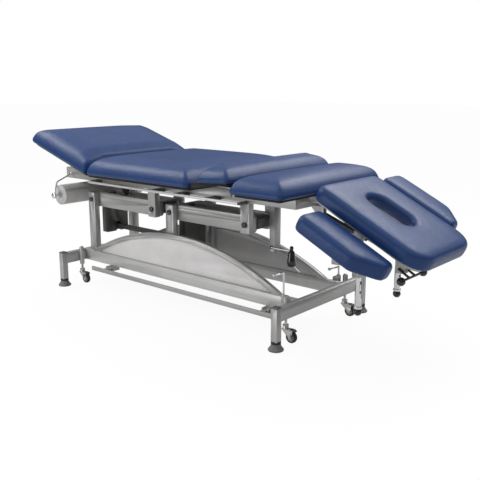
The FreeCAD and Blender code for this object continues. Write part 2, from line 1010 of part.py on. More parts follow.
def wedge(pivot_x, side, start, end, radius, y):
    points = [(pivot_x, section_pivot_z)]
    steps = 1 + int((end - start) / wedge_step)
    for index in range(steps + 1):
        angle = math.radians(start + (end - start) * index / steps)
        x = pivot_x + side * 2 * radius * math.cos(angle)
        z = section_pivot_z - 2 * radius * math.sin(angle)
        points.append((x, z))
    return plate_y(points, y)


def leg_board():
    low = upper_high + deck_gap
    x = (leg_pivot_x - leg_start - leg_length + board_inset, leg_pivot_x - leg_start)
    board = block(x, board_y(), (low, deck_top))
    board = soften(board, board_inset, up_axis)
    lugs = section_lugs(leg_pivot_x, leg_pivot_x - 2 * lug_radius, low)
    plate = sector(leg_pivot_x, -1, leg_sector, leg_sector_reach, low)
    return tilted(join([board, plate] + lugs), leg_pivot_x, section_pivot_z, leg_tilt)


def leg_pad():
    end = leg_pivot_x - leg_start - leg_length
    x = (end, leg_pivot_x - leg_start + leg_overrun)
    radii = [leg_corner, inner_round, inner_round, leg_corner]
    body = pillow(x, radii, leg_height, broad_roll)
    body = body.cut(leaning_cut())
    return tilted(body, leg_pivot_x, section_pivot_z, leg_tilt)


def leaning_cut():
    depth = 2 * leg_height
    face_x = leg_pivot_x - leg_start
    y = (2 * deck_y[0], 2 * deck_y[1])
    wall = block((face_x, face_x + depth), y, (section_pivot_z - depth, section_pivot_z + depth))
    wall.rotate(vec(face_x, 0, deck_top), across_axis, -leg_lean_angle)
    return wall


def narrow_board():
    left = narrow_pivot_x + wedge_start
    right = narrow_pivot_x + narrow_start + narrow_length - board_inset
    points = [
        (left, upper_high + wedge_rise),
        (narrow_pivot_x + wedge_reach, wedge_top - board_depth),
        (right, wedge_top - board_depth),
        (right, wedge_top),
        (left, wedge_top),
    ]
    low = wedge_top - board_depth / 2
    lugs = section_lugs(narrow_pivot_x, left + board_depth - cap_bevel, low)
    plate = sector(narrow_pivot_x, 1, narrow_sector, narrow_sector_reach, low)
    shapes = [plate_y(points, board_y()), plate] + lugs
    return tilted(join(shapes), narrow_pivot_x, section_pivot_z, -narrow_tilt)


def narrow_pad():
    start = narrow_pivot_x + narrow_start
    corners = rectangle((start, start + narrow_length), deck_y)
    radii = [inner_round] * len(corners)
    body = pad(corners, radii, wedge_top, narrow_height, narrow_roll, narrow_shares, ridge_share)
    return tilted(body, narrow_pivot_x, section_pivot_z, -narrow_tilt)


def head_bracket():
    shapes = []
    for way in (-1, 1):
        y = sorted((way * head_lug_y, way * (head_lug_y + lug_depth)))
        plate = block(
            (upper_head_x, head_pivot_x),
            y,
            (head_pivot_z - head_lug_radius, head_pivot_z + head_lug_radius),
        )
        disc = pin_y(head_pivot_x, head_pivot_z, head_lug_radius, y)
        hole = pin_y(head_pivot_x, head_pivot_z, head_pin_radius, y)
        shapes.append(join([plate, disc]).cut(hole))
    return shapes


def strut_cheeks():
    shapes = []
    for way in (-1, 1):
        y = sorted((way * strut_cheek_y, way * (strut_cheek_y + strut_cheek_depth)))
        points = [
            (upper_head_x - head_bar_width / 2, upper_low),
            (strut_x + strut_cheek_reach, upper_low),
            (strut_x + strut_cheek_reach, strut_z - strut_cheek_reach),
            (strut_x - strut_cheek_reach, strut_z - strut_cheek_reach),
        ]
        hole = pin_y(strut_x, strut_z, strut_pin_radius, y)
        shapes.append(plate_y(points, y).cut(hole))
    return shapes


def pawls():
    shapes = []
    for x, z in ((leg_pawl_x, leg_pawl_z), (narrow_pawl_x, narrow_pawl_z)):
        shapes.append(block(x, (sector_y - pawl_gap, sector_y + sector_depth + pawl_gap), z))
    return shapes


def upper_pins():
    pins = [hanger_bolts()]
    inner = upper_rail_outer - upper_rail_depth
    for x in (leg_pivot_x, narrow_pivot_x):
        for way in (-1, 1):
            y = sorted((way * (lug_y - pawl_gap), way * inner))
            pins.append(pin_y(x, section_pivot_z, section_pin_radius, y))
    reach = spine_y + spine_width / 2
    pins.append(pin_y(head_pivot_x, head_pivot_z, head_pin_radius, (-reach, reach)))
    reach = strut_cheek_y + strut_cheek_depth
    pins.append(pin_y(strut_x, strut_z, strut_pin_radius, (-reach, reach)))
    return group(pins)


def lever_post():
    post = block(lever_post_x, lever_post_y, (lever_post_low, upper_low))
    hole = pin_y(lever_pivot_x, lever_pivot_z, section_pin_radius + running_gap, lever_post_y)
    return post.cut(hole)


def roll_holder():
    solids = [pin_y(roll_x, roll_z, spindle_radius, (-spindle_half, spindle_half))]
    for way in (-1, 1):
        y = sorted((way * (spindle_half - disc_depth), way * spindle_half))
        solids.append(pin_y(roll_x, roll_z, disc_radius, y))
        start_y = way * upper_rail_outer
        y = sorted((start_y, start_y + way * holder_knob_depth))
        solids.append(pin_y(holder_x, holder_z, holder_knob_radius, y))
        end_y = way * (spindle_half - disc_depth / 2)
        first = vec(holder_x, start_y + way * holder_knob_depth / 2, holder_z)
        middle = vec(
            holder_x + (roll_x - holder_x) * bend_x_share,
            first.y + (end_y - first.y) * bend_share,
            holder_z + (roll_z - holder_z) * bend_z_share,
        )
        last = vec(roll_x, end_y, roll_z)
        solids.append(bar(first, middle, holder_rod_radius))
        solids.append(ball(middle.x, middle.y, middle.z, holder_rod_radius + bend_swell))
        solids.append(bar(middle, last, holder_rod_radius))
    return join(solids)


def paper_roll():
    roll = pin_y(roll_x, roll_z, roll_radius, (-roll_half, roll_half))
    bore = pin_y(roll_x, roll_z, spindle_radius + running_gap, (-roll_half, roll_half))
    cuts = [bore]
    for way in (-1, 1):
        y = sorted((way * roll_half, way * (roll_half - disc_depth)))
        cuts.append(pin_y(roll_x, roll_z, roll_core_radius, y))
    return roll.cut(group(cuts))


def head_low():
    return head_pivot_z + head_lift


def head_hole(x, z, spread):
    start = x + hole_start + hole_half_width
    end = x + hole_start + hole_length - hole_half_width
    radius = hole_half_width + spread
    return join([
        pin_z(start, 0, radius, z),
        pin_z(end, 0, radius, z),
        block((start, end), (-radius, radius), z),
    ])


def head_frame():
    low = head_low() - spine_height
    z = (low, head_low())
    solids = []
    holes = []
    for way in (-1, 1):
        y = span(way * spine_y, spine_width)
        solids.append(block((head_pivot_x, head_pivot_x + spine_end), y, z))
        neck_x = (head_pivot_x, head_pivot_x + 2 * head_lug_radius)
        solids.append(block(neck_x, y, (head_pivot_z, head_low())))
        solids.append(pin_y(head_pivot_x, head_pivot_z, head_lug_radius, y))
    for x in (head_cross, rear_cross):
        reach = spine_y
        solids.append(block((head_pivot_x + x[0], head_pivot_x + x[1]), (-reach, reach), z))
    start = head_pivot_x + head_start
    half = head_half_width - board_inset
    board_x = (start, start + head_length - board_inset)
    board_z = (head_low(), head_low() + head_board_depth)
    board = block(board_x, (-half, half), board_z)
    board = soften(board, board_corner, up_axis)
    hole = head_hole(start, board_z, board_flare)
    solids.append(board.cut(hole))
    frame = tilted(join(solids), head_pivot_x, head_pivot_z, head_tilt)
    bore_y = (-head_half_width, head_half_width)
    holes.append(pin_y(head_pivot_x, head_pivot_z, head_pin_radius + running_gap, bore_y))
    clamps = []
    for way in (-1, 1):
        y = sorted((way * (spine_y + spine_width / 2 - running_gap), way * clamp_y))
        clamps.append(block(span(tube_x, clamp_width), y, clamp_z))
        holes.append(pin_z(tube_x, way * tube_y, tube_radius, clamp_z))
    return join([frame] + clamps + handle_block()).cut(group(holes))


def handle_block():
    shapes = [block(span(block_x, block_size[0]), span(0, block_size[1]), span(block_z, block_size[2]))]
    top = head_pivot_z - (rear_cross[0] + rear_cross[1]) / 2 * math.sin(math.radians(head_tilt))
    for way in (-1, 1):
        y = sorted((way * cheek_y, way * block_size[1] / 2))
        low = block_z + block_size[2] / 2 - deck_gap
        shapes.append(block(span(block_x, block_size[0]), y, (low, top)))
    hole = pin_y(block_x, handle_pivot_z, handle_radius + running_gap, span(0, block_size[1]))
    return [join(shapes).cut(hole)]


def head_pad():
    start = head_pivot_x + head_start
    low = head_low() + head_board_depth
    corners = rectangle((start, start + head_length), (-head_half_width, head_half_width))
    radii = [head_near_round, head_far_round, head_far_round, head_near_round]
    body = pad(corners, radii, low, head_height, head_roll, pad_shares, least_radius_share)
    centre = hole_start + hole_length / 2
    half_straight = hole_length / 2 - hole_half_width
    wires = []
    for rise_share, spread_share in hole_shares:
        radius = hole_half_width + hole_flare * spread_share
        x = (start + centre - half_straight - radius, start + centre + half_straight + radius)
        radii = [radius * hole_round_share] * 4
        ring = rectangle(x, (-radius, radius))
        wires.append(rounded_wire(ring, radii, low + head_height * rise_share))
    body = body.cut(Part.makeLoft(wires, True, True))
    return tilted(body, head_pivot_x, head_pivot_z, head_tilt)


def armrest_tubes():
    tubes = []
    for way in (-1, 1):
        y = way * tube_y
        tube = pin_z(tube_x, y, tube_radius, (tube_low, tube_top))
        bore = pin_z(tube_x, y, tube_bore, (tube_low + tube_plug, tube_top))
        guide = pin_z(tube_x, y, knob_rod_radius + running_gap, (tube_low, tube_low + tube_plug))
        tube = tube.cut(group([bore, guide]))
        slot = block((tube_x, tube_x + tube_radius), span(y, slot_width), slot_z)
        notches = []
        for height in notch_z:
            y_notch = sorted((y, y - notch_reach))
            notches.append(block((tube_x, tube_x + tube_radius), y_notch, span(height, slot_width)))
        tubes.append(tube.cut(group([slot] + notches)))
    return group(tubes)


def armrest_plane(x, drop, depth):
    along = math.radians(head_tilt)
    rise = head_lift + head_board_depth + head_height - depth
    s = (x - head_pivot_x - rise * math.sin(along)) / math.cos(along)
    return head_pivot_z - s * math.sin(along) + rise * math.cos(along) - drop


def armrest_bracket(way, back, drop):
    under = armrest_plane(tube_x + back, drop, arm_pad_height + arm_board_depth)
    arm_z = (under - bracket_drop - bracket_height, under - bracket_drop)
    y = way * tube_y
    sleeve_z = (arm_z[0] - sleeve_drop, arm_z[0] - sleeve_drop + sleeve_height)
    sleeve = pin_z(tube_x, y, sleeve_radius, sleeve_z)
    cheek_y_pair = sorted((y, way * (riser_y + riser_depth)))
    cheek = block(span(tube_x, riser_width), cheek_y_pair, sleeve_z)
    riser_pair = sorted((way * riser_y, way * (riser_y + riser_depth)))
    riser = block(span(tube_x, riser_width), riser_pair, (sleeve_z[0], arm_z[1]))
    reach = sorted((way * riser_y, way * bracket_reach))
    arm = block(span(tube_x, bracket_width), reach, arm_z)
    wedge_y = sorted((way * (arm_pad_y + board_inset), way * bracket_reach))
    saddle = block(span(tube_x, bracket_width), wedge_y, (arm_z[0], under + bracket_width))
    board = arm_board(way, back, drop)
    above = moved(tilted_box_above(way), -back, 0, -drop)
    saddle = saddle.cut(above)
    bore = pin_z(tube_x, y, tube_radius + running_gap, (sleeve_z[0], sleeve_z[1]))
    return join([sleeve, cheek, riser, arm, saddle, board]).cut(bore)


def tilted_box_above(way):
    low = head_pivot_z + head_lift + head_board_depth + head_height - arm_pad_height - arm_board_depth
    x = (head_pivot_x - head_half_width, head_pivot_x + 2 * head_length)
    y = sorted((0, way * 2 * head_half_width))
    slab = block(x, y, (low, low + leg_height))
    return tilted(slab, head_pivot_x, head_pivot_z, head_tilt)


def arm_outline(way, inset):
    start = head_pivot_x + arm_pad_start
    y = (arm_pad_y, arm_pad_y + arm_pad_width)
    corners = [
        (start, y[0]),
        (start + arm_pad_length, y[0]),
        (start + arm_pad_length, y[1] - arm_nose_side),
        (start + arm_pad_length - arm_pad_nose, y[1]),
        (start, y[1]),
    ]
    corners = inset_corners(corners, inset)
    radii = [arm_pad_round, arm_tip_round, arm_nose_round, arm_outer_round, arm_pad_round]
    if way < 0:
        corners = [(x, -y) for x, y in reversed(corners)]
        radii = list(reversed(radii))
    return corners, radii


def arm_board(way, back, drop):
    low = head_pivot_z + head_lift + head_board_depth + head_height - arm_pad_height - arm_board_depth
    corners, radii = arm_outline(way, board_inset)
    radii = [radius * least_radius_share for radius in radii]
    face = Part.Face(rounded_wire(corners, radii, low))
    board = face.extrude(vec(0, 0, arm_board_depth))
    return moved(tilted(board, head_pivot_x, head_pivot_z, head_tilt), -back, 0, -drop)


def arm_pad(way, back, drop):
    low = head_pivot_z + head_lift + head_board_depth + head_height - arm_pad_height
    corners, radii = arm_outline(way, 0)
    body = pad(corners, radii, low, arm_pad_height, arm_roll, pad_shares, least_radius_share)
    return moved(tilted(body, head_pivot_x, head_pivot_z, head_tilt), -back, 0, -drop)


def tube_knob(way):
    y = way * tube_y
    rod_top = tube_low + tube_plug + knob_travel + cheek_gap
    solids = [
        ball(tube_x, y, knob_z, knob_radius),
        pin_z(tube_x, y, collar_radius, (tube_low - collar_height, tube_low)),
        pin_z(tube_x, y, knob_rod_radius, (knob_z, rod_top)),
        pin_z(tube_x, y, knob_rod_head, (rod_top, rod_top + knob_rod_cap)),
    ]
    return join(solids)


def tilt_handle():
    reach = block_size[1] / 2 + handle_side
    solids = [pin_y(block_x, handle_pivot_z, handle_radius, (-reach, reach))]
    for way in (-1, 1):
        start = vec(block_x, way * reach, handle_pivot_z)
        end = vec(handle_x, way * reach, handle_z)
        solids.append(bar(start, end, handle_radius - thread_gap))
        solids.append(ball(block_x, way * reach, handle_pivot_z, handle_radius + bend_swell))
        solids.append(ball(handle_x, way * handle_half, handle_z, handle_ball))
    solids.append(pin_y(handle_x, handle_z, handle_radius, (-handle_half, handle_half)))
    return join(solids)


def strut_angle():
    return math.degrees(math.atan2(strut_z - strut_end_z, strut_end_x - strut_x))


def strut_cylinder():
    eye = pin_y(strut_x, strut_z, strut_eye, span(0, strut_eye_depth))
    neck = pin_x(0, strut_z, strut_rod_radius, (strut_x, strut_x + strut_start))
    body = pin_x(0, strut_z, strut_radius, (strut_x + strut_start, strut_x + strut_end))
    hole = pin_y(strut_x, strut_z, strut_pin_radius + running_gap, span(0, strut_eye_depth))
    bore_x = (strut_x + strut_start + strut_eye, strut_x + strut_end)
    bore = pin_x(0, strut_z, strut_rod_radius + running_gap, bore_x)
    return tilted(join([eye, neck, body]).cut(group([hole, bore])), strut_x, strut_z, strut_angle())


def strut_rod():
    end = strut_x + math.hypot(strut_end_x - strut_x, strut_end_z - strut_z)
    rod = pin_x(0, strut_z, strut_rod_radius, (strut_x + strut_rod_start, end))
    eye = pin_y(end, strut_z, strut_eye, span(0, strut_eye_depth))
    hole = pin_y(end, strut_z, strut_pin_radius + running_gap, span(0, strut_eye_depth))
    return tilted(join([rod, eye]).cut(hole), strut_x, strut_z, strut_angle())


def hand_lever():
    near_y = lever_post_y[0]
    y = near_y - lever_rod_radius - cheek_gap
    end_x = lever_pivot_x + lever_reach
    profile = [
        (0, grip_low),
        (grip_radius * grip_foot_share, grip_low),
        (grip_radius, grip_low + grip_belly),
        (grip_neck, grip_high),
        (0, grip_high),
    ]
    points = [vec(end_x, y + r, z) for r, z in profile]
    grip = Part.Face(Part.makePolygon(points + points[:1])).revolve(vec(end_x, y, 0), up_axis, 360)
    solids = [
        pin_y(lever_pivot_x, lever_pivot_z, section_pin_radius, (y, lever_post_y[1])),
        pin_y(lever_pivot_x, lever_pivot_z, lug_radius, (y - lug_radius / 2, near_y - cheek_gap / 2)),
        pin_x(y, lever_pivot_z, lever_rod_radius, (lever_pivot_x, end_x)),
        grip,
        pin_z(end_x, y, grip_cap_radius, (grip_high - cheek_gap, grip_cap_top)),
        ball(end_x, y, grip_cap_top, grip_cap_radius + bend_swell),
        bar(
            vec(end_x, y, grip_low + grip_belly),
            vec(end_x + grip_radius + grip_neck, y, grip_low - grip_cap_radius),
            lever_rod_radius,
        ),
    ]
    return join(solids)


def castor_places():
    inner = leg_x - cross_bar_depth / 2 - guide_radius
    return [
        ("foot_near", -inner, -castor_y),
        ("foot_far", -inner, castor_y),
        ("head_near", inner, -castor_y),
        ("head_far", inner, castor_y),
    ]


def base_fittings():
    shapes = []
    for name, x, y in castor_places():
        sleeve = pin_z(x, y, guide_radius, (guide_low, guide_top))
        crown = ball(x, y, guide_top, guide_radius - thread_gap)
        room = pin_z(x, y, stem_radius + running_gap, (guide_low, stem_room_top))
        shapes.append(join([sleeve, crown]).cut(room))
    for x in pedal_arm_x:
        inner = pedal_arm_width / 2 + cheek_gap
        for way in (-1, 1):
            plate_x = sorted((x + way * inner, x + way * (inner + bracket_plate)))
            points_y = (pedal_pivot_y - 2 * pedal_pivot_radius, rail_low_y[1])
            plate = block(plate_x, points_y, (pedal_pivot_z - 2 * pedal_pivot_radius, frame_bar_low))
            shapes.append(plate)
        reach = inner + bracket_plate
        shapes.append(pin_x(pedal_pivot_y, pedal_pivot_z, pedal_pivot_radius, (x - reach, x + reach)))
    for y, way in ((near_lever_y, -1), (far_lever_y, 1)):
        rail_face = near_rail_y if way < 0 else far_rail_y + rail_depth
        y_pair = sorted((y, rail_face))
        lug = block(span(lever_x, 2 * lever_socket_radius), y_pair, (lever_socket_low, lever_socket_top))
        socket = pin_z(lever_x, y, lever_socket_radius, (lever_socket_low, lever_socket_top))
        hole_z = (lever_socket_low + bracket_plate, lever_socket_top)
        hole = pin_z(lever_x, y, lever_radius + running_gap, hole_z)
        shapes.append(join([lug, socket]).cut(hole))
    return group(shapes)


def castor_stem(x, y):
    return join([
        pin_z(x, y, stem_radius, (swivel_high - swivel_depth, stem_top)),
        pin_z(x, y, swivel_radius, (swivel_high, swivel_high + swivel_depth)),
    ])


def castor_fork(x, y):
    wheel_x = x + wheel_trail
    outer = wheel_width / 2 + fork_gap + fork_depth
    cap_x = (x - swivel_radius, wheel_x + fork_width / 2)
    cap = block(cap_x, (y - outer, y + outer), (fork_top, fork_top + fork_depth))
    hub = pin_z(x, y, swivel_radius, (fork_top + fork_depth, swivel_high))
    solids = [cap, hub]
    for way in (-1, 1):
        y_pair = sorted((y + way * (outer - fork_depth), y + way * outer))
        points = [
            (x - swivel_radius, fork_top),
            (wheel_x + fork_width / 2, fork_top),
            (wheel_x + fork_width / 3, wheel_z),
            (wheel_x - fork_width / 3, wheel_z),
        ]
        solids.append(plate_y(points, y_pair))
        solids.append(pin_y(wheel_x, wheel_z, fork_width / 3, y_pair))
    axle = pin_y(wheel_x, wheel_z, wheel_bore, (y - outer, y + outer))
    hole = pin_z(x, y, stem_radius + running_gap, (fork_top, swivel_high))
    return join(solids + [axle]).cut(hole)


def castor_wheel(x, y):
    wheel_x = x + wheel_trail
    half = wheel_width / 2
    profile = [
        (wheel_bore + running_gap, -half),
        (wheel_radius - tyre_bevel, -half),
        (wheel_radius, -half + tyre_bevel),
        (wheel_radius, half - tyre_bevel),
        (wheel_radius - tyre_bevel, half),
        (wheel_bore + running_gap, half),
    ]
    points = [vec(wheel_x + r, y + w, wheel_z) for r, w in profile]
    face = Part.Face(Part.makePolygon(points + points[:1]))
    return face.revolve(vec(wheel_x, y, wheel_z), across_axis, 360)


def pedal_bar():
    solids = [block(pedal_x, span(pedal_y, pedal_depth), (pedal_low, pedal_high))]
    holes = []
    for x in pedal_arm_x:
        arm_x = span(x, pedal_arm_width)
        boss_width = 2 * pedal_pivot_radius + bracket_plate
        arm = block(arm_x, (pedal_y, pedal_pivot_y), span(pedal_pivot_z, boss_width))
        boss = pin_x(pedal_pivot_y, pedal_pivot_z, boss_width / 2, arm_x)
        solids.extend([arm, boss])
        holes.append(pin_x(pedal_pivot_y, pedal_pivot_z, pedal_pivot_radius + running_gap, arm_x))
    return join(solids).cut(group(holes))


def upright_lever(y, top):
    bend_z = top - lever_radius
    low = lever_socket_low + bracket_plate + cheek_gap
    end = vec(lever_x - lever_bend, y, bend_z - lever_drop)
    solids = [
        pin_z(lever_x, y, lever_radius, (low, bend_z)),
        ball(lever_x, y, bend_z, lever_radius + bend_swell),
        bar(vec(lever_x, y, bend_z), end, lever_radius - thread_gap),
        Part.makeSphere(lever_knob_radius, end, end.sub(vec(lever_x, y, bend_z))),
        pin_z(lever_x, y, lever_collar_radius, (lever_socket_top, lever_socket_top + bracket_plate)),
    ]
    return join(solids)


def build():
    save(end_frame(-1), "end_frame_foot")
    save(end_frame(1), "end_frame_head")
    save(side_rails(), "side_rails")
    save(side_arches(), "side_arches")
    save(arch_panels(), "arch_panels")
    save(leg_caps(), "leg_caps")
    save(foot_rings(), "foot_rings")
    save(foot_pads(), "foot_pads")
    save(lift_posts(), "lift_posts")
    save(base_pivot_bolts(), "base_pivot_bolts")
    save(actuator_mount(), "actuator_mount")
    save(base_fittings(), "base_fittings")
    save(near_and_far_arm(post_foot_x, foot_grooves), "link_arms_foot")
    save(crank_set(post_foot_x, 1, foot_slots), "crank_foot")
    save(near_and_far_arm(post_mid_x, head_grooves), "link_arms_head")
    save(crank_set(post_mid_x, -1, head_slots), "crank_head")
    save(drawbar(), "drawbar")
    save(actuator_body(), "actuator_body")
    save(actuator_rod(), "actuator_rod")
    frame = join([upper_frame()] + gusset_plates() + head_bracket())
    save(frame, "upper_frame")
    save(deck_boards(), "deck_boards")
    save(group([hangers(), lever_post()] + strut_cheeks() + pawls()), "hangers")
    save(upper_pins(), "upper_pins")
    save(seat_pad(), "seat_cushion")
    save(chest_pad(), "chest_cushion")
    save(side_bar(), "side_bar")
    save(roll_holder(), "roll_holder")
    save(paper_roll(), "paper_roll")
    save(leg_board(), "leg_board")
    save(leg_pad(), "leg_cushion")
    save(narrow_board(), "narrow_board")
    save(narrow_pad(), "narrow_cushion")
    save(head_frame(), "head_frame")
    save(head_pad(), "head_cushion")
    save(armrest_tubes(), "armrest_tubes")
    for name, way, back, drop in (("near", -1, near_back, near_drop), ("far", 1, far_back, far_drop)):
        save(armrest_bracket(way, back, drop), "armrest_bracket_" + name)
        save(arm_pad(way, back, drop), "armrest_cushion_" + name)
        save(tube_knob(way), "tube_knob_" + name)
    save(tilt_handle(), "tilt_handle")
    save(strut_cylinder(), "strut_cylinder")
    save(strut_rod(), "strut_rod")
    save(hand_lever(), "hand_lever")
    save(pedal_bar(), "pedal_bar")
    for name, x, y in castor_places():
        save(castor_stem(x, y), "castor_stem_" + name)
        save(castor_fork(x, y), "castor_fork_" + name)
        save(castor_wheel(x, y), "castor_wheel_" + name)
    save(upright_lever(near_lever_y, near_lever_top), "upright_lever_near")
    save(upright_lever(far_lever_y, far_lever_top), "upright_lever_far")


build()
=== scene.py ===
import json
import math

import bmesh
import bpy
import numpy as np
from mathutils import Matrix, Vector

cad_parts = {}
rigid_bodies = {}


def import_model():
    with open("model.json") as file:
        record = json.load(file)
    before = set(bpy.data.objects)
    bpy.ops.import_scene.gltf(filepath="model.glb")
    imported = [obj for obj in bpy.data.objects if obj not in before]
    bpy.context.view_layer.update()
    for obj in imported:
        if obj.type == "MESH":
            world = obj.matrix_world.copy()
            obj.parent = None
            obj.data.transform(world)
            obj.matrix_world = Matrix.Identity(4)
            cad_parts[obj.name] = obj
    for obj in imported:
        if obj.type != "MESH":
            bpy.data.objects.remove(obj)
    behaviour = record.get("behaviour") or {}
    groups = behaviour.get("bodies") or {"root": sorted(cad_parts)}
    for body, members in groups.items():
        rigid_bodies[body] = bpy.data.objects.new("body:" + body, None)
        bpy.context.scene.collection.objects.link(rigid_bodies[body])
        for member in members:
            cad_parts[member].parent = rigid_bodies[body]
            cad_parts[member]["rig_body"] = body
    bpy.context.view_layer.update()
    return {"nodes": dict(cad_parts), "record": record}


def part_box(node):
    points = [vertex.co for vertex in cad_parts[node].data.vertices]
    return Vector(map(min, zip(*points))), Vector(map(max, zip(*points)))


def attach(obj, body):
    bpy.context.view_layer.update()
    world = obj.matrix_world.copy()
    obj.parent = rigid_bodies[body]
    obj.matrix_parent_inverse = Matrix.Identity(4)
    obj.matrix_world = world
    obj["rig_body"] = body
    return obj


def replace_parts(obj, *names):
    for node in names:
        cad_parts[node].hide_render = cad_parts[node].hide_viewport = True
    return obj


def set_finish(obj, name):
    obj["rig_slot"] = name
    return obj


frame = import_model()
scene = bpy.context.scene
record = frame["record"]
body_of_node = {n: b for b, ns in record["behaviour"]["bodies"].items() for n in ns}
ends = [Vector(c) for n in ("end_frame_foot", "end_frame_head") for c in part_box(n)]
BASE = sum(ends, Vector()) / len(ends)
BASE.z = 0


def P(x, y, z):
    """A point given in millimetres from the base's middle, in the row frame."""
    return BASE + Vector((x, y, z)) / 1000


# Materials


def new_material(name, color, rough=0.4, metal=0.0, coat=0.0, coat_rough=0.1, ior=1.5):
    m = bpy.data.materials.new(name)
    m.use_nodes = True
    b = m.node_tree.nodes["Principled BSDF"]
    b.inputs["Base Color"].default_value = (*color, 1)
    b.inputs["Roughness"].default_value = rough
    b.inputs["Metallic"].default_value = metal
    b.inputs["Coat Weight"].default_value = coat
    b.inputs["Coat Roughness"].default_value = coat_rough
    b.inputs["IOR"].default_value = ior
    m.diffuse_color = (*color, 1)
    return m, m.node_tree, b


def link(nt, a, b):
    nt.links.new(a, b)


def coords(nt):
    return nt.nodes.new("ShaderNodeTexCoord").outputs["Object"]


def noise_node(nt, vector, scale, detail=3.0, rough=0.5):
    n = nt.nodes.new("ShaderNodeTexNoise")
    n.inputs["Scale"].default_value = scale
    n.inputs["Detail"].default_value = detail
    n.inputs["Roughness"].default_value = rough
    link(nt, vector, n.inputs["Vector"])
    return n.outputs["Fac"]


def ramp(nt, value, low, high, to_low, to_high):
    r = nt.nodes.new("ShaderNodeMapRange")
    r.inputs["From Min"].default_value = low
    r.inputs["From Max"].default_value = high
    r.inputs["To Min"].default_value = to_low
    r.inputs["To Max"].default_value = to_high
    link(nt, value, r.inputs["Value"])
    return r.outputs["Result"]


def tint(nt, value, one, two, target):
    mix = nt.nodes.new("ShaderNodeMix")
    mix.data_type = "RGBA"
    mix.inputs[6].default_value = (*one, 1)
    mix.inputs[7].default_value = (*two, 1)
    link(nt, value, mix.inputs[0])
    link(nt, mix.outputs[2], target)


def bump(nt, height, target, strength, distance):
    b = nt.nodes.new("ShaderNodeBump")
    b.inputs["Strength"].default_value = strength
    b.inputs["Distance"].default_value = distance
    link(nt, height, b.inputs["Height"])
    link(nt, b.outputs["Normal"], target)
    return b


def shade(c, k):
    return tuple(min(1.0, v * k) for v in c)


def painted(name, color, rough=0.36, metal=0.25, grain=0.10):
    m, nt, b = new_material(name, color, rough, metal, coat=0.12, coat_rough=0.22)
    v = coords(nt)
    cloud = noise_node(nt, v, 6.0, 4.0, 0.6)
    patch = ramp(nt, cloud, 0.3, 0.7, 0.0, 1.0)
    tint(nt, patch, shade(color, 0.93), shade(color, 1.05), b.inputs["Base Color"])
    fine = noise_node(nt, v, 240.0, 3.0, 0.55)
    link(nt, ramp(nt, fine, 0.3, 0.7, rough - 0.05, rough + 0.07), b.inputs["Roughness"])
    peel = noise_node(nt, v, 700.0, 2.0, 0.5)
    bump(nt, peel, b.inputs["Normal"], grain, 0.0004)
    return m


def plastic(name, color, rough=0.4, grain=0.15, scale=900.0, coat=0.0):
    m, nt, b = new_material(name, color, rough, 0.0, coat=coat)
    v = coords(nt)
    cloud = noise_node(nt, v, 25.0, 3.0, 0.6)
    tint(nt, cloud, shade(color, 0.85), shade(color, 1.15), b.inputs["Base Color"])
    fine = noise_node(nt, v, 90.0)
    link(nt, ramp(nt, fine, 0.3, 0.7, rough - 0.06, rough + 0.08), b.inputs["Roughness"])
    bump(nt, noise_node(nt, v, scale, 2.0), b.inputs["Normal"], grain, 0.0004)
    return m


def metal(name, color, rough, grain=0.05):
    m, nt, b = new_material(name, color, rough, 1.0)
    v = coords(nt)
    cloud = noise_node(nt, v, 40.0, 4.0, 0.6)
    tint(nt, cloud, shade(color, 0.88), shade(color, 1.06), b.inputs["Base Color"])
    fine = noise_node(nt, v, 160.0, 4.0)
    link(nt, ramp(nt, fine, 0.3, 0.75, rough * 0.6, rough * 1.7), b.inputs["Roughness"])
    bump(nt, noise_node(nt, v, 300.0, 3.0), b.inputs["Normal"], grain, 0.0003)
    return m


def vinyl_material():
    color = (0.0115, 0.047, 0.172)
    m, nt, b = new_material("navy_vinyl", color, 0.34, ior=1.45)
    b.inputs["Specular IOR Level"].default_value = 0.40
    v = coords(nt)
    cloud = noise_node(nt, v, 9.0, 4.0, 0.6)
    patch = ramp(nt, cloud, 0.25, 0.75, 0.0, 1.0)
    tint(nt, patch, shade(color, 0.90), shade(color, 1.12), b.inputs["Base Color"])
    link(nt, ramp(nt, noise_node(nt, v, 60.0, 4.0), 0.3, 0.7, 0.31, 0.40), b.inputs["Roughness"])
    cells = nt.nodes.new("ShaderNodeTexVoronoi")
    cells.feature = "DISTANCE_TO_EDGE"
    cells.inputs["Scale"].default_value = 620.0
    warp = nt.nodes.new("ShaderNodeMix")
    warp.data_type = "VECTOR"
    warp.inputs[0].default_value = 0.0016
    n = nt.nodes.new("ShaderNodeTexNoise")
    n.inputs["Scale"].default_value = 180.0
    link(nt, v, n.inputs["Vector"])
    link(nt, v, warp.inputs[4])
    link(nt, n.outputs["Color"], warp.inputs[5])
    link(nt, warp.outputs[1], cells.inputs["Vector"])
    groove = ramp(nt, cells.outputs["Distance"], 0.0, 0.18, 0.0, 1.0)
    first = bump(nt, groove, b.inputs["Normal"], 0.22, 0.00025)
    soft = nt.nodes.new("ShaderNodeBump")
    soft.inputs["Strength"].default_value = 0.35
    soft.inputs["Distance"].default_value = 0.004
    link(nt, noise_node(nt, v, 14.0, 2.0, 0.4), soft.inputs["Height"])
    link(nt, soft.outputs["Normal"], first.inputs["Normal"])
    return m


